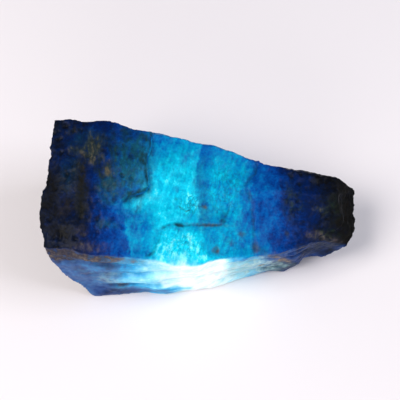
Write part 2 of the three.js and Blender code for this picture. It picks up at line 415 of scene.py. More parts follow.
SKIN_EDGE = Seam(
    path=(
        (-9.2, 15), (-9.6, 8), (-10.3, 5.4), (-10.2, 3.0), (-9.8, -0.1), (-10.7, -1.4),
        (-12.5, -2.2), (-14.1, -3.2), (-15.5, -4.4),
    ),
    width=0.4, lift=-0.3, dark=0.75, glow=0.05, reach=2.4, taper=2.4,
)
SKIN_FOOT = Seam(
    path=((-9.9, 1), (-9.8, -0.1), (-10.7, -1.4), (-12.5, -2.2), (-14.1, -3.2), (-15.5, -4.4)),
    glow=0.1, reach=3.4, taper=2.0,
)
TIP_EDGE = Seam(
    path=(
        (10.9, 9), (10.3, 4.6), (9.2, 3.4), (8.4, 1.9), (8.9, 0.8), (9.5, -0.6), (9.7, -3),
        (10.1, -7.6), (10, -11),
    ),
    width=0.3, depth=0.08, lift=-0.14, dark=0.42, step=-0.08, glow=0.05, reach=3.0,
)
CROWN_CRACK = Seam(
    path=((-7.6, -8), (-6.9, -7.2), (-5.5, -6.4), (-4, -6.2), (-1, -5.9), (2, -5.8), (5, -5.6)),
    width=0.22, depth=0.22, dark=0.55,
)
ARC_CRACK = Seam(
    path=((-4.3, -2.2), (-3.7, -2.9), (-2.7, -3.4), (-1.6, -2.8)),
    width=0.16, depth=0.1, dark=0.8, taper=0.8,
)
SIDE_CRACK = Seam(
    path=((4.9, -1.2), (5.3, -2.2), (5.1, -3.4), (4.4, -4.8)),
    width=0.16, depth=0.06, dark=0.5, taper=0.8,
)
RIDGE_CRACK = Seam(
    path=((-7.2, -8.6), (-8.0, -10.2), (-8.8, -11.8), (-10.6, -13.2)),
    width=0.24, depth=0.15, dark=0.5, glow=0.12, reach=4.0,
)
DEEP_EDGE = Seam(path=((-14.6, -5.6), (-13.7, -9), (-13.0, -14)), glow=0.12, reach=4.0)
BAND_EDGE = Seam(
    path=((0.9, 12), (0.2, 8.5), (-0.8, 5), (-0.9, 0.5), (-0.5, -2), (0.0, -6.4)),
    depth=0.06, glow=-0.18, reach=3.4,
)
BAND_FOOT = Seam(path=((-0.1, -5.2), (0.9, -8.5), (1.6, -13)), glow=-0.12, reach=3.4)
SEAMS = (
    SKIN_EDGE, SKIN_FOOT, TIP_EDGE, CROWN_CRACK, ARC_CRACK, SIDE_CRACK, RIDGE_CRACK, DEEP_EDGE,
    BAND_EDGE, BAND_FOOT,
)  # fmt: skip

PITTINGS = (
    Pitting(low=(-30, -12), high=(-11, 13), spacing=1.6, share=0.07, depth=0.2),
    Pitting(low=(15, -8), high=(30, 7), spacing=1.4, share=0.06, depth=0.18),
)

# Each patch has its middle and half sizes in millimetres, what it is, and how strong it is.
CROWN_PATCHES = (
    # Iron stain, dull brown skin and green-blue skin on the blunt end of the crown.
    Patch((-13.2, 4.5), (4.6, 8.5), Mark.TEAL, 1.0),
    Patch((-16.8, -1.0), (2.6, 3.4), Mark.TEAL, 1.0),
    Patch((-21.0, 8.0), (4.0, 3.0), Mark.TEAL, 0.5),
    Patch((-17.3, -8.0), (2.0, 1.0), Mark.TEAL, 0.7),
    Patch((-23.2, 6.4), (2.2, 1.2), Mark.OCHRE, 0.75),
    Patch((-20.2, 6.4), (2.2, 3.2), Mark.OCHRE, 1.0),
    Patch((-19.2, 3.4), (1.8, 1.0), Mark.OCHRE, 0.7, turn=-35),
    Patch((-17.4, 2.6), (2.0, 2.2), Mark.OCHRE, 0.9),
    Patch((-22.2, -1.4), (1.3, 5.6), Mark.OCHRE, 0.35),
    Patch((-24.6, 1.6), (2.4, 4.2), Mark.TEAL, 0.45),
    Patch((-16.0, 7.2), (1.3, 2.6), Mark.OLIVE, 0.4),
    Patch((-17.4, -3.8), (1.8, 1.4), Mark.TEAL, 0.6),
    Patch((-11.0, 0.4), (1.0, 1.2), Mark.DENSE, 0.3),
    Patch((-22.5, 2.9), (1.6, 1.4), Mark.OCHRE, 0.4),
    Patch((-16.4, -1.2), (2.0, 2.2), Mark.OCHRE, 0.3),
    Patch((-24.5, 10.6), (1.2, 0.8), Mark.OCHRE, 0.4),
    Patch((-10.6, 6.8), (0.8, 3.8), Mark.OLIVE, 0.6, turn=-4),
    Patch((-22.1, -9.4), (1.4, 1.4), Mark.RUST, 0.25),
    Patch((-20.8, -12.2), (4.6, 1.2), Mark.RUST, 0.35),
    Patch((-23.8, -8.6), (3.4, 2.2), Mark.DENSE, 0.6),
    Patch((-12.6, -1.8), (2.8, 0.5), Mark.OLIVE, 0.55, turn=28),
    Patch((-18.9, 2.4), (1.0, 2.2), Mark.OLIVE, 0.8),
    Patch((-28.0, -3.0), (2.2, 7.0), Mark.RIND, 0.6),
    Patch((-25.0, -4.2), (2.2, 2.6), Mark.RIND, 0.55),
    Patch((-25.2, -4.6), (1.4, 1.8), Mark.RUST, 0.3),
    Patch((-22.1, -0.8), (1.4, 5.6), Mark.RIND, 0.7),
    Patch((-25.0, 9.0), (5.4, 7.4), Mark.CLEAR, 1.0),
    Patch((-13.4, -4.2), (3.2, 1.8), Mark.CLEAR, 0.9, turn=20),
    Patch((-12.0, 3.2), (2.0, 5.6), Mark.DENSE, 0.65),
    Patch((-12.0, 10.6), (3.2, 2.0), Mark.DENSE, 0.8),
    Patch((-21.4, -4.6), (1.4, 3.6), Mark.DENSE, 0.5),
    # Clearer and cloudier places in the middle.
    Patch((-3.0, -10.0), (4.2, 4.2), Mark.CLEAR, 0.5),
    Patch((-3.2, -9.6), (1.4, 2.4), Mark.CLEAR, 0.45),
    Patch((-6.8, -10.3), (1.2, 2.0), Mark.DENSE, 0.35),
    Patch((2.6, -9.8), (1.6, 2.4), Mark.CLEAR, 0.5),
    Patch((1.6, -11.9), (2.4, 0.9), Mark.CLEAR, 0.9),
    Patch((8.9, -7.7), (1.1, 1.6), Mark.DENSE, 0.35),
    Patch((7.9, 0.9), (1.0, 1.4), Mark.DENSE, 0.35),
    Patch((9.1, 6.2), (1.1, 1.2), Mark.CLEAR, 0.35),
    Patch((-4.1, 4.9), (1.6, 2.4), Mark.CLEAR, 0.25),
    Patch((-3.0, -6.7), (3.8, 0.9), Mark.DENSE, 0.6),
    Patch((-7.4, 10.2), (2.6, 4.2), Mark.DENSE, 1.0),
    Patch((-3.4, 9.6), (3.6, 4.0), Mark.DENSE, 0.6),
    Patch((0.2, 2.0), (1.5, 5.6), Mark.TEAL, 0.35),
    Patch((0.4, -3.4), (1.5, 3.4), Mark.TEAL, 0.6),
    Patch((3.8, 4.8), (1.7, 3.0), Mark.CLEAR, 0.5),
    Patch((4.6, -4.7), (2.8, 1.0), Mark.DENSE, 0.8),
    Patch((8.3, -1.0), (1.1, 3.2), Mark.DENSE, 0.9),
    Patch((12.7, -2.9), (1.1, 1.3), Mark.DENSE, 0.3),
    Patch((10.5, 3.0), (0.9, 1.2), Mark.DENSE, 0.7),
    Patch((8.3, 4.9), (1.1, 1.4), Mark.CLEAR, 0.7),
    Patch((-1.0, -0.5), (0.9, 1.2), Mark.CLEAR, 0.6),
    Patch((9.2, -0.4), (0.35, 1.1), Mark.CRACK, 0.5),
    Patch((-2.0, -1.8), (2.8, 2.6), Mark.SCALY, 1.0),
    Patch((-12.0, -4.4), (2.8, 4.0), Mark.SCALY, 0.35),
    Patch((-3.4, -9.8), (4.4, 3.0), Mark.SCALY, 0.6),
    Patch((4.6, 1.2), (5.4, 7.0), Mark.SCALY, 0.55),
    Patch((5.0, -8.5), (5.0, 3.6), Mark.SCALY, 0.35),
    Patch((-5.0, 4.4), (4.4, 4.6), Mark.SCALY, 0.22),
    Patch((-14.4, 2.4), (4.4, 5.6), Mark.SCALY, 0.4),
    Patch((-4.5, -1.4), (0.6, 0.5), Mark.CRACK, 0.5),
    Patch((-3.8, -6.2), (1.1, 0.4), Mark.CRACK, 0.9),
    Patch((4.2, -5.0), (0.8, 0.6), Mark.CRACK, 0.6),
    Patch((0.8, -2.4), (0.8, 0.4), Mark.RUST, 0.6),
    Patch((-10.4, -8.0), (2.8, 4.4), Mark.DENSE, 0.6),
    Patch((-12.6, -12.4), (5.0, 1.2), Mark.DENSE, 0.6),
    Patch((-4.6, 0.4), (0.9, 0.8), Mark.DENSE, 0.5),
    Patch((4.5, -8.5), (3.6, 3.0), Mark.DENSE, 0.35),
    Patch((0.9, -1.9), (1.2, 0.5), Mark.DENSE, 0.7),
    Patch((4.2, -4.4), (0.8, 1.2), Mark.DENSE, 0.8),
    Patch((4.2, -3.6), (1.0, 1.4), Mark.OLIVE, 0.3),
    Patch((-2.2, -4.8), (3.0, 1.6), Mark.DENSE, 0.6),
    Patch((-8.2, -2.6), (3.0, 3.4), Mark.CLEAR, 0.5),
    Patch((7.2, -4.4), (2.8, 3.2), Mark.DENSE, 0.5),
    Patch((10.6, -2.6), (1.6, 3.6), Mark.DENSE, 0.75),
    Patch((6.6, -1.4), (1.2, 2.4), Mark.CLEAR, 0.3),
    Patch((1.0, -5.75), (3.8, 0.4), Mark.RUST, 0.6),
    Patch((2.9, -10.3), (0.7, 0.8), Mark.RUST, 0.8),
    Patch((7.8, -7.1), (0.8, 0.5), Mark.RUST, 0.7),
    Patch((5.9, -8.8), (0.7, 0.6), Mark.RUST, 0.35),
    Patch((10.2, -9.6), (0.8, 1.6), Mark.RUST, 0.6),
    # Olive stain and black rind at the tip.
    Patch((17.4, 0.2), (2.2, 4.4), Mark.OLIVE, 0.55),
    Patch((26.8, -0.8), (3.2, 2.8), Mark.OLIVE, 0.6),
    Patch((23.2, -1.6), (1.8, 0.8), Mark.OCHRE, 0.5),
    Patch((23.2, -5.9), (3.2, 0.9), Mark.RUST, 0.45),
    Patch((23.4, -6.1), (2.6, 0.6), Mark.OCHRE, 0.5),
    Patch((26.3, -6.2), (1.6, 0.8), Mark.RUST, 0.9),
    Patch((25.4, -5.2), (3.0, 0.7), Mark.OLIVE, 0.6),
    Patch((16.4, -6.3), (0.5, 0.8), Mark.OCHRE, 0.6),
    Patch((13.2, -10.6), (1.6, 0.6), Mark.TAN, 0.6, turn=10),
    Patch((11.9, -10.0), (1.4, 0.8), Mark.OLIVE, 0.3),
    Patch((29.2, -2.0), (3.8, 9.0), Mark.RIND, 1.0),
    Patch((20.5, 5.6), (5.0, 1.6), Mark.DENSE, 0.6),
)
FRONT_PATCHES = (
    # Brown band under the ridge, and stain on the front face.
    Patch((-25.6, 16.0), (6.6, 3.2), Mark.RUST, 1.4),
    Patch((-20.2, 16.2), (6.0, 2.8), Mark.RUST, 1.4),
    Patch((-19.6, 15.8), (2.2, 1.4), Mark.TAN, 0.5),
    Patch((-15.6, 15.2), (4.0, 1.3), Mark.TAN, 0.5),
    Patch((-12.0, 14.7), (2.2, 1.0), Mark.RUST, 0.45, turn=-16),
    Patch((-18.4, 14.0), (3.4, 1.8), Mark.RUST, 0.9),
    Patch((-21.6, 9.6), (4.4, 1.3), Mark.RUST, 0.35, turn=-50),
    Patch((-18.0, 7.4), (1.4, 2.6), Mark.RUST, 0.3),
    Patch((-16.4, 2.5), (3.0, 1.5), Mark.SLATE, 0.55, turn=-8),
    Patch((-15.0, 4.2), (2.4, 1.0), Mark.RUST, 0.6, turn=-8),
    Patch((-14.4, 0.9), (5.0, 0.7), Mark.RUST, 0.4),
    Patch((-18.6, 2.0), (3.0, 2.4), Mark.DENSE, 0.55),
    Patch((8.0, 12.0), (3.4, 1.3), Mark.DENSE, 1.0),
    Patch((-16.6, 7.4), (3.0, 2.2), Mark.FILM, 0.4),
    Patch((-13.6, 7.6), (4.0, 1.4), Mark.CLEAR, 0.7),
    Patch((-12.4, 5.4), (3.4, 0.8), Mark.DENSE, 0.5),
    Patch((-9.5, 1.4), (9.0, 0.9), Mark.DENSE, 1.0),
    Patch((-6.0, 2.9), (4.4, 1.1), Mark.DENSE, 1.0),
    Patch((9.4, 6.0), (4.8, 5.6), Mark.FILM, 1.0),
    Patch((13.6, 10.8), (1.6, 1.0), Mark.SLATE, 0.6),
    Patch((13.6, 4.2), (2.6, 3.4), Mark.OLIVE, 0.7),
    Patch((13.8, 10.4), (1.8, 0.8), Mark.TAN, 0.8, turn=-40),
    Patch((15.8, 6.8), (2.6, 0.9), Mark.TAN, 1.0, turn=-50),
    Patch((11.6, 6.0), (0.9, 1.2), Mark.RUST, 0.9),
    Patch((11.6, 6.0), (0.8, 0.8), Mark.TAN, 0.8),
    Patch((15.6, 3.0), (3.0, 3.4), Mark.SLATE, 1.0),
    Patch((16.4, 3.0), (2.8, 3.2), Mark.OLIVE, 0.7),
    Patch((14.4, 3.6), (3.0, 3.0), Mark.FILM, 0.45),
    Patch((15.2, 11.4), (1.8, 0.5), Mark.RUST, 0.6),
    Patch((18.8, 9.2), (0.7, 1.4), Mark.RUST, 0.5),
    Patch((23.6, 8.6), (5.4, 3.8), Mark.SLATE, 1.0),
    Patch((21.0, 9.8), (3.2, 1.2), Mark.RUST, 0.3, turn=-12),
    Patch((24.8, 7.2), (2.0, 1.2), Mark.RUST, 0.35),
    Patch((25.0, 5.4), (2.0, 1.2), Mark.RIND, 0.6),
    Patch((26.8, 6.6), (1.4, 1.0), Mark.CLEAR, 0.8),
    Patch((26.2, 8.2), (1.6, 0.8), Mark.OCHRE, 0.9),
)
BACK_PATCHES = (
    # The ends and the back are guessed: rind on both ends, and skin that thins to the middle.
    Patch((-30.0, 7.0), (3.0, 12.0), Mark.RIND, 0.8),
    Patch((30.0, 5.0), (6.0, 10.0), Mark.RIND, 1.0),
    Patch((-23.0, 17.0), (7.0, 4.0), Mark.RUST, 0.8),
    Patch((-17.0, 6.0), (5.0, 5.0), Mark.OCHRE, 0.6),
    Patch((6.0, 2.0), (8.0, 2.4), Mark.RUST, 0.7),
    Patch((17.0, 8.0), (5.0, 3.4), Mark.OCHRE, 0.6),
    Patch((-13.0, 14.0), (5.0, 6.0), Mark.TEAL, 0.9),
)
PATCHES = {Side.CROWN: CROWN_PATCHES, Side.FRONT: FRONT_PATCHES, Side.BACK: BACK_PATCHES}


# ------------------------------------------------------------------ the stone

# The stone's grains. Each is read at a shift of its own, so no two follow one another.
LUMPS = Grain((3.0, 3.0, 3.0), 3)
DIMPLES = Grain((1.1, 1.3, 1.1), 3, 51.0)
STREAKS = Grain((0.8, 4.0, 4.0), 2, 7.0)
SCALES = Grain((0.9, 1.4, 1.4), 2, 55.0)
GRIT = Grain((0.7, 0.7, 0.7), 2, 3.0)
FIBRES = Grain((2.8, 1.2, 0.8), 3, 5.0)
WARP = Grain((7.0, 5.0, 5.0), 2, 1.0)
HACKLES = Grain((2.6, 2.6, 2.6), 4, 9.0)
CRUMBS = Grain((0.8, 0.8, 0.8), 4, 61.0)
RIDGE_WANDER = Grain((1.4, 1.4, 1.4), 3, 41.0)
PATCH_EDGES = Grain((1.8, 2.4, 1.2), 4, 13.0)
LINE_STRAY = Grain((1.1, 1.1, 1.1), 3, 17.0)
LINE_BREAKS = Grain((1.3, 1.3, 1.3), 2, 45.0)
DRIFT = Grain((3.0, 3.0, 3.0), 2, 21.0)
CLOUDS = Grain((2.6, 3.4, 2.6), 3, 25.0)
MOTTLE = Grain((0.9, 1.1, 0.9), 3, 29.0)
PALE_STREAKS = Grain((0.45, 2.6, 2.6), 2, 33.0)
BANDS = Grain((3.4, 1.4, 1.0), 4, 37.0)

# Where the front face is clearest, where its layers show, and where its dark hem lies.
CLEAREST = Stretch(-11, -8, 1, 4)
LAYERED = Stretch(-18, -9, 12, 16)
HEMMED = Stretch(-22, -19, -5, -1)

# How far the crown's streaks lean along the stone, for each millimetre back.
STREAK_LEAN = 0.28
# Layers climb toward the tip by the first, for each millimetre from the second place on, over
# the length of the third.
LAYER_CLIMB, CLIMB_START, CLIMB_LENGTH = 0.9, -2.0, 12.0


@dataclass
class Points:
    """The points of the stone's skin, and what lies at each.

    Args:
        places: where they are, in millimetres.
        normals: which way the surface faces.
        front: how far each belongs to the front face, from 0 to 1.
        crown: how far each belongs to the crown.
        masks: how much there is of each mark.
    """

    places: np.ndarray
    normals: np.ndarray
    front: np.ndarray
    crown: np.ndarray
    masks: dict[Mark, np.ndarray]

    def rest(self) -> np.ndarray:
        """Say how far each point belongs to neither the front face nor the crown."""
        return 1 - self.front - self.crown

    def plan(self) -> np.ndarray:
        """Look at the points from above."""
        return self.places[:, :2]

    def leaning(self) -> np.ndarray:
        """Shear the places, so that streaks read there lean along the stone."""
        return self.places - np.outer(self.places[:, 1], (STREAK_LEAN, 0, 0))

    def bedded(self) -> np.ndarray:
        """Lower the places, so that layers read there climb toward the tip."""
        climb = LAYER_CLIMB * np.clip(self.places[:, 0] - CLIMB_START, 0, CLIMB_LENGTH)
        return self.places - np.outer(climb, (0, 0, 1))


@dataclass(frozen=True)
class Relief:
    """The fine relief of a broken and weathered surface. Heights are in millimetres.

    Args:
        crown_lump: height of the crown's broad lumps.
        crown_dimple: height of its dimples.
        crown_streak: height of its streaks.
        scale: height of the small curved breaks on scaly places, and their middle level.
        layer: height of the front's ledges, and their middle level.
        layer_pitch: height from one layer to the next.
        layer_warp: how far layers bend up and down.
        ledge_rise: share of a layer's pitch that its ledge takes to stand out.
        fibre: height of the front's fibres.
        hackle: height of the crests on the ends and the back, and their middle level.
        hackle_round: how round those crests are.
        hackled: share of a point that is neither front nor crown, where crests start and are whole.
        crumble: height of crumbly rind and rust.
        grit: height of the grit all over.
        pit_warp: how far pits are bent out of round.
        resting: how much a normal points down where relief goes and is gone.
        resting_top: height of the zone by the ground where that holds.
    """

    crown_lump: float = 0.16
    crown_dimple: float = 0.10
    crown_streak: float = 0.05
    scale: tuple[float, float] = (0.2, 0.4)
    layer: tuple[float, float] = (0.06, -0.4)
    layer_pitch: float = 1.6
    layer_warp: float = 2.0
    ledge_rise: float = 0.3
    fibre: float = 0.045
    hackle: tuple[float, float] = (0.30, 0.45)
    hackle_round: float = 0.12
    hackled: Fade = (0.3, 1.0)
    crumble: float = 0.11
    grit: float = 0.05
    pit_warp: float = 0.3
    resting: Fade = (-0.9, -0.6)
    resting_top: float = 0.3

    def height_at(self, points: Points) -> np.ndarray:
        """Work out how far the surface stands out from the melted one.

        Args:
            points: the points of the skin.

        Returns:
            Heights in millimetres.
        """
        dimple = DIMPLES.at(points.places)
        grit = GRIT.at(points.places)
        height = self.on_crown(points, dimple) + self.on_front(points, dimple + grit)
        crests = 1 - 2 * np.hypot(HACKLES.at(points.places), self.hackle_round)
        size, middle = self.hackle
        height += ramp(*self.hackled, points.rest()) * size * (crests - middle)
        skinned = np.maximum(points.masks[Mark.RIND], points.masks[Mark.RUST])
        height += skinned * self.crumble * CRUMBS.at(points.places)
        height += self.grit * grit
        warped = points.places + self.pit_warp * np.stack((dimple, grit, dimple), axis=1)
        for pitting in PITTINGS:
            height -= points.crown * pitting.depth_at(warped)
        flat = ramp(*self.resting, points.normals[:, 2])
        return np.where(points.places[:, 2] < self.resting_top, height * flat, height)

    def on_crown(self, points: Points, dimple: np.ndarray) -> np.ndarray:
        """Work out the crown's lumps, dimples, streaks, small curved breaks and seams.

        Args:
            points: the points of the skin.
            dimple: the grain of the dimples there.

        Returns:
            Heights in millimetres, 0 off the crown.
        """
        leaning = points.leaning()
        lumps = self.crown_lump * LUMPS.at(points.places)
        lumps += self.crown_dimple * dimple + self.crown_streak * STREAKS.at(leaning)
        for seam in SEAMS:
            lumps += seam.height_at(points.plan())
        breaks = 1 - 2 * np.abs(SCALES.at(leaning))
        size, middle = self.scale
        return points.crown * lumps + points.masks[Mark.SCALY] * size * (breaks - middle)

    def on_front(self, points: Points, lumps: np.ndarray) -> np.ndarray:
        """Work out the front's ledges and fibres, and its lumps past the layered stretch.

        Args:
            points: the points of the skin.
            lumps: the grain of the lumps there.

        Returns:
            Heights in millimetres, 0 off the front.
        """
        bedded = points.bedded()
        level = bedded[:, 2] + self.layer_warp * WARP.at(points.places)
        layer = np.mod(level / self.layer_pitch, 1)
        ledge = ramp(0, self.ledge_rise, layer) - layer
        size, middle = self.layer
        layers = size * (ledge - middle) + self.fibre * FIBRES.at(bedded)
        layered = LAYERED.at(points.places[:, 0])
        return points.front * (layered * layers + (1 - layered) * self.fibre * lumps)


@dataclass(frozen=True)
class Glow:
    """How much light the stone passes, from 0 for black-blue to 1 for ice: its own colour zones with
    painted glow, set into its colour.

    Args:
        drift: how far the light's steps stray along the stone, in millimetres.
        back_dim: how much less passes at the back of the crown.
        back: how far back that starts and is whole, in millimetres.
        crown_cloud: how much the crown's clouds vary its light, as a share of it.
        crown_mottle: how much its mottles do.
        crown_streak: how much its streaks do.
        crown_painted_relief_shade: how much more passes for each millimetre that the surface stands
            out.
        crown_clear: how much more passes in clear spots, and less in dense ones.
        front_cloud: how much the front's clouds vary its light.
        front_mottle: how much its mottles do.
        front_band: how much its layers do, or more mottles past the layered stretch.
        front_clear: how much more passes in its clear spots, and less in dense ones.
        hem: how much less passes in its dark hem.
        hem_top: height where the hem starts and is whole, in millimetres.
        hem_drift: how far that height strays, for each millimetre of drift.
        rest: how much of the crown's light the ends and the back have.
        rest_cloud: how much clouds vary it there.
        rest_mottle: how much mottles do.
    """

    drift: float = 0.5
    back_dim: float = 0.10
    back: Fade = (1, 9)
    crown_cloud: float = 0.08
    crown_mottle: float = 0.07
    crown_streak: float = 0.09
    # crown_painted_relief_shade: painted shade and highlight of the relief: how much more passes for
    # each millimetre that the surface stands out, so raised places are painted lighter and hollows
    # darker.
    crown_painted_relief_shade: float = 0.32
    crown_clear: float = 0.15
    front_cloud: float = 0.06
    front_mottle: float = 0.03
    front_band: float = 0.07
    front_clear: float = 0.20
    hem: float = 0.14
    hem_top: Fade = (3.8, 2.7)
    hem_drift: float = 1.5
    rest: float = 0.75
    rest_cloud: float = 0.15
    rest_mottle: float = 0.1

    def light_at(self, points: Points, height: np.ndarray) -> np.ndarray:
        """Say how much light the stone passes, as its own colour zones with painted glow.

        Args:
            points: the points of the skin.
            height: how far the surface stands out there. Raised places are painted lighter and
                hollows darker with it, as painted shade.

        Returns:
            A value for each point, from 0 to 1.
        """
        x, y, z = points.places.T
        drift = self.drift * DRIFT.at(points.places)
        cloud = CLOUDS.at(points.places)
        mottle = MOTTLE.at(points.places)
        streak = PALE_STREAKS.at(points.leaning())
        clear = points.masks[Mark.CLEAR] - points.masks[Mark.DENSE]
        crown = along(CROWN_LIGHT, x + drift) - self.back_dim * ramp(*self.back, y)
        for seam in SEAMS:
            crown += seam.light_at(points.plan(), mottle)
        varied = self.crown_cloud * cloud + self.crown_mottle * mottle + self.crown_streak * streak
        # Painted shade of the relief: raised places lighter and hollows darker in the colour.
        crown = crown * (1 + varied) + self.crown_painted_relief_shade * height + self.crown_clear * clear
        layered = LAYERED.at(x)
        banded = layered * BANDS.at(points.bedded()) + (1 - layered) * mottle
        hem = ramp(*self.hem_top, z + self.hem_drift * drift) * HEMMED.at(x)
        front = along(FRONT_LIGHT, x + drift) + self.front_clear * clear - self.hem * hem
        front += self.front_cloud * cloud + self.front_mottle * mottle + self.front_band * banded
        rest = self.rest * along(CROWN_LIGHT, x)
        rest += self.rest_cloud * cloud + self.rest_mottle * mottle
        light = points.crown * crown + points.front * front + points.rest() * rest
        return np.clip(light, 0, 1)


@dataclass
class Chunk:
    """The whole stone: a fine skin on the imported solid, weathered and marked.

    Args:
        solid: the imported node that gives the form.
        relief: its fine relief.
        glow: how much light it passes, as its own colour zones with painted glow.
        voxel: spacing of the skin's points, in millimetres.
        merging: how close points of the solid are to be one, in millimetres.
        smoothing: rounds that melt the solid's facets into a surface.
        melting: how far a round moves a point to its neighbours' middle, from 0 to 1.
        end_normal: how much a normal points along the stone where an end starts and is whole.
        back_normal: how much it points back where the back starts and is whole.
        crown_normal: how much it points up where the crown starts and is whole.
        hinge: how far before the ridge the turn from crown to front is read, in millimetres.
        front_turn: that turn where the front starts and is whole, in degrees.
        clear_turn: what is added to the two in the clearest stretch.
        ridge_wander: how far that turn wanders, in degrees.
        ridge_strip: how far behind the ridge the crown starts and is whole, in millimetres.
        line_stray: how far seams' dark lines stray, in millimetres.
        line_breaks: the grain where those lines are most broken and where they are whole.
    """

    solid: bpy.types.Object
    relief: Relief = Relief()
    glow: Glow = Glow()
    voxel: float = 0.25
    merging: float = 0.001
    smoothing: int = 5
    melting: float = 0.5
    end_normal: Fade = (0.6, 0.85)
    back_normal: Fade = (0.15, 0.45)
    crown_normal: Fade = (0.25, 0.6)
    hinge: float = 1.5
    front_turn: Fade = (-2, -18)
    clear_turn: tuple[float, float] = (12, -6)
    ridge_wander: float = 6
    ridge_strip: Fade = (3, 1.5)
    line_stray: float = 0.2
    line_breaks: Fade = (-0.5, 0.2)

    def build(self) -> bpy.types.Object:
        """Make the stone, weathered and marked, in its place.

        Returns:
            The finished object, with no modifier left on it.
        """
        mesh = self.fine_skin()
        points = self.survey(mesh)
        height = self.relief.height_at(points)
        low, high = (np.array(corner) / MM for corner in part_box(NODE))
        raised = np.clip(points.places + points.normals * height[:, None], low, high)
        mesh.vertices.foreach_set("co", (raised * MM).ravel())
        values = {mark.value: mask for mark, mask in points.masks.items()}
        values[FRONT_SHARE] = points.front
        # Colour zones with painted glow of light shining through the stone, read by the material as
        # colour.
        values[LIGHT] = self.glow.light_at(points, height)
        for name, value in values.items():
            layer = mesh.attributes.new(name, "FLOAT", "POINT")
            layer.data.foreach_set("value", value)
        mesh.update()
        stone = bpy.data.objects.new("rough_sapphire", mesh)
        bpy.context.scene.collection.objects.link(stone)
        log.info("stone: %d points, %d faces", len(mesh.vertices), len(mesh.polygons))
        return stone

    def fine_skin(self) -> bpy.types.Mesh:
        """Lay an even, fine mesh over a merged copy of the solid and melt its facets.

        Returns:
            The mesh, in metres.
        """
        bm = bmesh.new()
        bm.from_mesh(self.solid.data)
        bmesh.ops.remove_doubles(bm, verts=bm.verts, dist=self.merging * MM)
        bmesh.ops.recalc_face_normals(bm, faces=bm.faces)
        mesh = bpy.data.meshes.new("coarse")
        bm.to_mesh(mesh)
        bm.free()
        coarse = bpy.data.objects.new("coarse", mesh)
        bpy.context.scene.collection.objects.link(coarse)
        remesh = coarse.modifiers.new("skin", "REMESH")
        remesh.mode = "VOXEL"
        remesh.voxel_size = self.voxel * MM
        remesh.use_smooth_shade = True
        smooth = coarse.modifiers.new("melt", "SMOOTH")
        smooth.factor = self.melting
        smooth.iterations = self.smoothing
        made = coarse.evaluated_get(bpy.context.evaluated_depsgraph_get())
        fine = bpy.data.meshes.new_from_object(made)
        fine.name = "rough_sapphire"
        bpy.data.objects.remove(coarse)
        bpy.data.meshes.remove(mesh)
        return fine

    def survey(self, mesh: bpy.types.Mesh) -> Points:
        """Find where each point of the skin lies on the stone, and what is marked there.

        Args:
            mesh: the skin.

        Returns:
            The points, in the order of the skin's own.
        """
        count = len(mesh.vertices)
        places, normals = np.empty(count * 3), np.empty(count * 3)
        mesh.vertices.foreach_get("co", places)
        mesh.vertex_normals.foreach_get("vector", normals)
        places = places.reshape(-1, 3) / MM
        normals = normals.reshape(-1, 3)
        front, crown = self.sides(places, normals)
        points = Points(places, normals, front, crown, {})
        points.masks = self.masks(points)
        return points

    def sides(self, places: np.ndarray, normals: np.ndarray) -> tuple[np.ndarray, np.ndarray]:
        """Tell the front face and the crown from the rest, by where a point lies off the ridge.

        Args:
            places: points in millimetres.
            normals: their normals.

        Returns:
            How far each point belongs to the front face, and to the crown, from 0 to 1.
        """
        x, y, z = places.T
        back = y - along(RIDGE_DEPTH, x)
        up = z - along(RIDGE_HEIGHT, x)
        turn = np.degrees(np.arctan2(up, np.maximum(back, -self.hinge) + self.hinge))
        turn += self.ridge_wander * RIDGE_WANDER.at(places)
        end = ramp(*self.end_normal, np.abs(normals[:, 0]))
        away = np.maximum(ramp(*self.back_normal, normals[:, 1]), end)
        clearest = CLEAREST.at(x)
        start, whole = (
            turned + more * clearest for turned, more in zip(self.front_turn, self.clear_turn)
        )
        front = ramp(start, whole, turn) * (1 - away)
        by_ridge = ramp(*self.ridge_strip, back) * (1 - end)
        crown = (1 - front) * np.maximum(ramp(*self.crown_normal, normals[:, 2]), by_ridge)
        return front, crown

    def masks(self, points: Points) -> dict[Mark, np.ndarray]:
        """Work out how much there is of each mark.

        Args:
            points: the points of the skin, not yet marked.

        Returns:
            For each mark, a value for each point.
        """
        ragged = PATCH_EDGES.at(points.places)
        masks = {mark: np.zeros(len(ragged)) for mark in Mark}
        shares = {Side.CROWN: points.crown, Side.FRONT: points.front, Side.BACK: points.rest()}
        for side, share in shares.items():
            flat = points.places[:, AXES[side]]
            for mark in Mark:
                own = [patch.cover(flat, ragged) for patch in PATCHES[side] if patch.mark is mark]
                masks[mark] += share * np.max(own, axis=0, initial=0)
        stray = self.line_stray * LINE_STRAY.at(points.places)
        whole = ramp(*self.line_breaks, LINE_BREAKS.at(points.places))
        for seam in SEAMS:
            line = points.crown * seam.dark_at(points.plan(), stray, whole)
            masks[Mark.CRACK] = np.maximum(masks[Mark.CRACK], line)
        return masks


# ------------------------------------------------------------------ finishes

# The Mix node has inputs for each kind of value. These are the numbers of the ones used here.
SHARE, NUMBER_A, NUMBER_B, COLOUR_A, COLOUR_B = 0, 2, 3, 6, 7
MIXED_COLOUR = 2
# The value that Blender's noise swings about.
NOISE_MIDDLE = 0.5


def add_node(
    tree: Tree, kind: str, inputs: dict | None = None, output: int | str = 0, **settings: object
) -> Socket | None:
    """Add a shader node with its settings, and fill or link its inputs.

    Args:
        tree: the material's nodes.
        kind: the node's Blender type, without the ShaderNode that each starts with.
        inputs: for each input's name or number, a value or an output to link to it.
        output: the name or number of the output that is wanted.
        settings: the node's own properties.

    Returns:
        That output, or None from a node without outputs.
    """
    node = tree.nodes.new("ShaderNode" + kind)
    for name, value in settings.items():
        setattr(node, name, value)
    for key, value in (inputs or {}).items():
        if isinstance(value, Socket):
            tree.links.new(value, node.inputs[key])
        else:
            node.inputs[key].default_value = value
    return node.outputs[output] if node.outputs else None


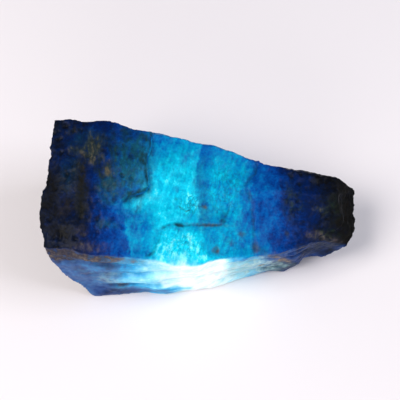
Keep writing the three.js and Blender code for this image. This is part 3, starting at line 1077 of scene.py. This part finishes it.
@dataclass(frozen=True)
class Speckle:
    """Fine noise in a material.

    Args:
        size: length of its grains, in millimetres.
        detail: how many finer waves ride on them.
        drawn: whether they are drawn out along the stone's fibres.
    """

    size: float
    detail: float
    drawn: bool = False


@dataclass(frozen=True)
class RoughCorundum:
    """Natural blue corundum, as grown and broken.

    Fresh breaks are glassy but uneven, so they gleam in small points. The body is cloudy and passes
    light, so colour runs from navy where it is thick or skinned to ice where it is clear, and its
    pale colours carry painted glow of light shining through it.
    A ramp's stops are sRGB hex colours, from its lowest value up.

    Args:
        crown: colours of the crown, by how much light passes, with painted glow in its bright cyan
            end.
        front: colours of the front face, by the same, with painted glow in its pale and white end.
        teal: colours of green-blue skin, by the same.
        stains: colours of each stain and skin, by its own grain. Later ones lie over earlier.
        crack: colour in cracks.
        ior: how strongly it bends light; corundum's own is 1.77.
        gleam: how much it mirrors, low because dust and fine breaks take most of its gloss.
        smooth_break: roughness of a fresh break.
        dull_rind: roughness of rind.
        grit: the sugary breaks.
        veil: thin clouds inside, a few millimetres across.
        bedding: blotches of about a millimetre in the front's stain.
        fibre: growth fibres of about a millimetre, which stain follows on the crown.
        fleck: pale flecks on scaly places.
        hair: what hairline cracks on scaly places follow.
        noise_roughness: how strong the finer waves of all of these are.
        fibre_stretch: how the fibres are drawn out, along x, y and z.
        fibre_lean: how far they lean, in degrees.
        crown_grit: how much grit varies the crown's light.
        front_grit: how much it does on the front.
        veil_light: how much veils vary the light.
        fleck_light: how much flecks do.
        hair_width: how far from the middle of its noise a hairline reaches.
        hair_dark: how dark it is in its middle.
        edge_grain: the grain where the edge of a mark is thinned and thickened.
        edge_share: how much of the mark is left at the two.
        scatter: how much of the light scatters inside.
        scatter_colour: how far red, green and blue go inside, against one another.
        scatter_depth: how far they go, in millimetres.
        bump: how strongly grit shapes the gloss.
        bump_height: height of the grit, in millimetres.
    """

    # The bright stops of the crown and front ramps are painted glow of light shining through the
    # stone.
    crown: Stops = (
        (0.0, "07080c"), (0.12, "071229"), (0.25, "001b50"), (0.36, "00327c"), (0.46, "004e9a"),
        (0.52, "0060a6"), (0.60, "0079b3"), (0.74, "00a0c8"), (0.82, "04b8d9"), (0.90, "10ceea"),
        (1.0, "78e9f6"),
    )  # fmt: skip
    front: Stops = (
        (0.0, "101c3c"), (0.16, "26427c"), (0.34, "426498"), (0.46, "4280b4"), (0.60, "3aaade"),
        (0.75, "90dcf4"), (0.88, "d8f6fb"), (1.0, "fbfeff"),
    )  # fmt: skip
    teal: Stops = (
        (0.05, "0a1a26"), (0.30, "0c3448"), (0.50, "12566e"), (0.70, "1c7e9c"), (0.90, "48b0c8"),
    )  # fmt: skip
    stains: tuple[tuple[Mark, Stops], ...] = (
        (Mark.OCHRE, ((0.35, "111c22"), (0.52, "27302f"), (0.70, "524e42"))),
        (Mark.RUST, ((0.35, "201e28"), (0.52, "3d3942"), (0.70, "625954"))),
        (Mark.OLIVE, ((0.35, "050a12"), (0.55, "12201a"), (0.72, "2b3a2a"))),
        (Mark.SLATE, ((0.35, "0f1a30"), (0.52, "182540"), (0.70, "2a354a"))),
        (Mark.FILM, ((0.35, "88aeb6"), (0.52, "9cc2ca"), (0.70, "b2d6dc"))),
        (Mark.TAN, ((0.35, "504c50"), (0.52, "6c625f"), (0.70, "8c7a6c"))),
        (Mark.RIND, ((0.35, "070709"), (0.55, "0f0f0e"), (0.72, "1a1815"))),
    )
    crack: str = "10323c"
    ior: float = 1.77
    gleam: float = 0.03
    smooth_break: float = 0.36
    dull_rind: float = 0.85
    # The real grains are about 0.1 mm. They are drawn coarser, so that they show.
    grit: Speckle = Speckle(0.45, 3.0)
    veil: Speckle = Speckle(2.4, 4.0)
    bedding: Speckle = Speckle(1.1, 4.0)
    fibre: Speckle = Speckle(0.95, 5.0, drawn=True)
    fleck: Speckle = Speckle(0.7, 2.0, drawn=True)
    hair: Speckle = Speckle(0.9, 1.0, drawn=True)
    noise_roughness: float = 0.6
    fibre_stretch: tuple[float, float, float] = (1.1, 0.42, 1.7)
    fibre_lean: float = 15.0
    crown_grit: float = 0.26
    front_grit: float = 0.09
    veil_light: float = 0.10
    fleck_light: float = 0.4
    hair_width: float = 0.09
    hair_dark: float = 0.6
    edge_grain: tuple[float, float] = (0.35, 0.65)
    edge_share: tuple[float, float] = (0.45, 1.4)
    scatter: float = 0.25
    scatter_colour: tuple[float, float, float] = (0.3, 0.75, 1.0)
    scatter_depth: float = 1.0
    bump: float = 0.6
    bump_height: float = 0.1

    def build(self) -> bpy.types.Material:
        """Make the material.

        Returns:
            A node material that reads the stone's attributes and Object coordinates.
        """
        material = bpy.data.materials.new("corundum_rough_broken")
        material.use_nodes = True
        tree = material.node_tree
        tree.nodes.clear()
        grit, veil, bedding, fibre, fleck, hair = self.speckles(tree)
        front, light, scaly, crack = (
            add_node(tree, "Attribute", output="Fac", attribute_name=name)
            for name in (FRONT_SHARE, LIGHT, Mark.SCALY.value, Mark.CRACK.value)
        )
        amounts = {SHARE: front, NUMBER_A: self.crown_grit, NUMBER_B: self.front_grit}
        light = self.sway(tree, light, grit, add_node(tree, "Mix", amounts))
        light = self.sway(tree, light, veil, self.veil_light)
        amounts = {0: scaly, 1: self.fleck_light}
        light = self.sway(tree, light, fleck, add_node(tree, "Math", amounts, operation="MULTIPLY"))
        grain = add_node(tree, "Mix", {SHARE: front, NUMBER_A: fibre, NUMBER_B: bedding})
        crown_tint, front_tint, *skin_tints = self.tints(tree, light, grain)
        skins = [self.edged(tree, mark, grain) for mark in (Mark.TEAL, *dict(self.stains))]
        hairline = self.hairline(tree, hair, scaly)
        crack = add_node(tree, "Math", {0: crack, 1: hairline}, operation="MAXIMUM")
        colour = crown_tint
        coats = [(front, front_tint), *zip(skins, skin_tints), (crack, srgb(self.crack))]
        for share, tint in coats:
            inputs = {SHARE: share, COLOUR_A: colour, COLOUR_B: tint}
            colour = add_node(tree, "Mix", inputs, MIXED_COLOUR, data_type="RGBA")
        rind = skins[-1]
        inputs = {"Value": rind, "To Min": self.smooth_break, "To Max": self.dull_rind}
        rough = add_node(tree, "MapRange", inputs)
        inputs = {"Height": grit, "Strength": self.bump, "Distance": self.bump_height * MM}
        bump = add_node(tree, "Bump", inputs)
        inputs = {
            "Base Color": colour,
            "Roughness": rough,
            "Normal": bump,
            "IOR": self.ior,
            "Specular IOR Level": self.gleam,
            "Subsurface Weight": self.scatter,
            "Subsurface Radius": self.scatter_colour,
            "Subsurface Scale": self.scatter_depth * MM,
        }
        shader = add_node(tree, "BsdfPrincipled", inputs)
        add_node(tree, "OutputMaterial", {"Surface": shader})
        return material

    def speckles(self, tree: Tree) -> list[Socket]:
        """Add the finish's noises, on Object coordinates.

        Args:
            tree: the material's nodes.

        Returns:
            The grit, veil, bedding, fibre, fleck and hair.
        """
        place = add_node(tree, "TexCoord", output="Object")
        lean = (0, 0, math.radians(self.fibre_lean))
        inputs = {"Vector": place, "Rotation": lean, "Scale": self.fibre_stretch}
        drawn = add_node(tree, "Mapping", inputs)
        outputs = []
        for speckle in (self.grit, self.veil, self.bedding, self.fibre, self.fleck, self.hair):
            inputs = {
                "Vector": drawn if speckle.drawn else place,
                "Scale": 1 / (speckle.size * MM),
                "Detail": speckle.detail,
                "Roughness": self.noise_roughness,
            }
            outputs.append(add_node(tree, "TexNoise", inputs))
        return outputs

    def tints(self, tree: Tree, light: Socket, grain: Socket) -> list[Socket]:
        """Turn light and grain into colours.

        Args:
            tree: the material's nodes.
            light: how much light passes.
            grain: the grain of stains.

        Returns:
            The colours of the crown, the front, the teal skin and each stain.
        """
        ramps = [(light, stops) for stops in (self.crown, self.front, self.teal)]
        ramps += [(grain, stops) for _, stops in self.stains]
        outputs = []
        for value, stops in ramps:
            output = add_node(tree, "ValToRGB", {0: value})
            elements = output.node.color_ramp.elements
            for position, _ in stops[2:]:
                elements.new(position)
            for element, (position, code) in zip(elements, stops):
                element.position = position
                element.color = srgb(code)
            outputs.append(output)
        return outputs

    def sway(self, tree: Tree, value: Socket, speckle: Socket, amount: Socket | float) -> Socket:
        """Let noise move a value up and down.

        Args:
            tree: the material's nodes.
            value: the value.
            speckle: the noise.
            amount: how far from the noise's lowest to its highest moves it.

        Returns:
            The moved value.
        """
        centred = add_node(tree, "Math", {0: speckle, 1: NOISE_MIDDLE}, operation="SUBTRACT")
        inputs = {0: centred, 1: amount, 2: value}
        return add_node(tree, "Math", inputs, operation="MULTIPLY_ADD")

    def edged(self, tree: Tree, mark: Mark, grain: Socket) -> Socket:
        """Read how much there is of a mark, and break its soft edge into grains.

        Args:
            tree: the material's nodes.
            mark: the mark.
            grain: the grain that breaks it.

        Returns:
            How much of it shows, from 0 to 1.
        """
        share = add_node(tree, "Attribute", output="Fac", attribute_name=mark.value)
        low, high = self.edge_grain
        thin, thick = self.edge_share
        inputs = {"Value": grain, "From Min": low, "From Max": high, "To Min": thin, "To Max": thick}
        broken = add_node(tree, "MapRange", inputs)
        return add_node(tree, "Math", {0: share, 1: broken}, operation="MULTIPLY", use_clamp=True)

    def hairline(self, tree: Tree, hair: Socket, scaly: Socket) -> Socket:
        """Draw fine curved cracks on scaly places, where noise passes through its middle.

        Args:
            tree: the material's nodes.
            hair: the noise.
            scaly: how scaly the stone is.

        Returns:
            How dark the cracks are.
        """
        centred = add_node(tree, "Math", {0: hair, 1: NOISE_MIDDLE}, operation="SUBTRACT")
        off = add_node(tree, "Math", {0: centred}, operation="ABSOLUTE")
        inputs = {"Value": off, "From Max": self.hair_width, "To Min": self.hair_dark, "To Max": 0}
        line = add_node(tree, "MapRange", inputs)
        return add_node(tree, "Math", {0: scaly, 1: line}, operation="MULTIPLY")


@dataclass(frozen=True)
class PaleCard:
    """Smooth matt card, cut from a plain sheet: an even, pale ground without gloss.

    Args:
        colour: its sRGB hex colour.
        roughness: high, since card doesn't shine.
    """

    colour: str = "e9e4e8"
    roughness: float = 0.9

    def build(self) -> bpy.types.Material:
        """Make the material.

        Returns:
            A plain matt material.
        """
        material = bpy.data.materials.new("pale_matt_card")
        material.use_nodes = True
        shader = material.node_tree.nodes["Principled BSDF"]
        shader.inputs["Base Color"].default_value = srgb(self.colour)
        shader.inputs["Roughness"].default_value = self.roughness
        return material


# ------------------------------------------------------------------ the studio


@dataclass
class Lamp:
    """A soft square lamp that faces a target.

    Args:
        name: what it does.
        at: where it hangs, in millimetres.
        size: its side, in millimetres.
        power: its strength, in watts.
        colour: its sRGB hex colour.
    """

    name: str
    at: tuple[float, float, float]
    size: float
    power: float
    colour: str

    def hang(self, target: Vector) -> None:
        """Place the lamp and turn it to the target.

        Args:
            target: the point that it faces, in metres.
        """
        data = bpy.data.lights.new(self.name, "AREA")
        data.size = self.size * MM
        data.energy = self.power
        data.color = srgb(self.colour)[:3]
        lamp = bpy.data.objects.new(self.name, data)
        lamp.location = Vector(self.at) * MM
        lamp.rotation_mode = "QUATERNION"
        lamp.rotation_quaternion = (target - lamp.location).to_track_quat("-Z", "Y")
        bpy.context.scene.collection.objects.link(lamp)


@dataclass
class Studio:
    """A pale floor, soft lamps, an even sky and the camera.

    Args:
        target: the point that the camera looks at, in millimetres.
        elevation: the camera's height over the horizon, in degrees.
        distance: how far off it stands, in millimetres.
        lens: its focal length, in millimetres.
        sensor: the width of its sensor, in millimetres.
        clip: the nearest and the furthest that it sees, in metres.
        floor_size: side of the floor, in millimetres.
        floor_gap: how far the floor lies under the stone, in millimetres.
        sky: the sky's sRGB hex colour.
        sky_strength: how bright the sky is.
        lamps: the lamps.
    """

    target: tuple[float, float, float] = (-0.1, 3.1, 9.0)
    elevation: float = 60.0
    distance: float = 300.0
    lens: float = 139.0
    sensor: float = 36.0
    clip: tuple[float, float] = (0.01, 10.0)
    floor_size: float = 4000.0
    floor_gap: float = 0.02
    sky: str = "e8eaf0"
    sky_strength: float = 0.3
    lamps: tuple[Lamp, ...] = (
        Lamp("key", (-300, -120, 400), 300, 2.2, "fffaf4"),
        Lamp("fill", (340, -40, 400), 300, 1.3, "f2f6ff"),
        Lamp("low_front", (0, -330, 60), 200, 0.5, "fffdf8"),
    )

    def build(self) -> None:
        """Lay the floor, hang the lamps and set the camera."""
        self.lay_floor()
        for lamp in self.lamps:
            lamp.hang(Vector(self.target) * MM)
        self.light_sky()
        self.set_camera()
        bpy.context.scene.view_settings.view_transform = "Standard"

    def lay_floor(self) -> None:
        """Lay one pale sheet just under the stone."""
        bm = bmesh.new()
        bmesh.ops.create_grid(bm, x_segments=1, y_segments=1, size=self.floor_size / 2 * MM)
        bmesh.ops.translate(bm, verts=bm.verts, vec=(0, 0, -self.floor_gap * MM))
        mesh = bpy.data.meshes.new("floor")
        bm.to_mesh(mesh)
        bm.free()
        floor = bpy.data.objects.new("floor", mesh)
        floor.data.materials.append(PaleCard().build())
        bpy.context.scene.collection.objects.link(floor)

    def light_sky(self) -> None:
        """Give the scene an even, pale sky."""
        world = bpy.data.worlds.new("sky")
        world.use_nodes = True
        background = world.node_tree.nodes["Background"]
        background.inputs["Color"].default_value = srgb(self.sky)
        background.inputs["Strength"].default_value = self.sky_strength
        bpy.context.scene.world = world

    def set_camera(self) -> None:
        """Stand the camera at the front, looking down on the stone."""
        tilt = math.radians(self.elevation)
        back = Vector((0, -math.cos(tilt), math.sin(tilt)))
        data = bpy.data.cameras.new("camera")
        data.sensor_width = self.sensor
        data.lens = self.lens
        data.clip_start, data.clip_end = self.clip
        camera = bpy.data.objects.new("camera", data)
        camera.location = (Vector(self.target) + back * self.distance) * MM
        camera.rotation_mode = "QUATERNION"
        camera.rotation_quaternion = (-back).to_track_quat("-Z", "Y")
        bpy.context.scene.collection.objects.link(camera)
        bpy.context.scene.camera = camera


def main() -> None:
    """Build the stone and its studio, and note the size of the stone's skin."""
    logging.basicConfig(level=logging.INFO, format="%(message)s")
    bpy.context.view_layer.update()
    stone = Chunk(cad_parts[NODE]).build()
    stone.data.materials.clear()
    stone.data.materials.append(RoughCorundum().build())
    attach(stone, BODY)
    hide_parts(NODE)
    log.info("finish: %s", stone.data.materials[0].name)
    Studio().build()
    log.info("studio: floor, lamps, sky and camera")


if __name__ == "__main__":
    main()
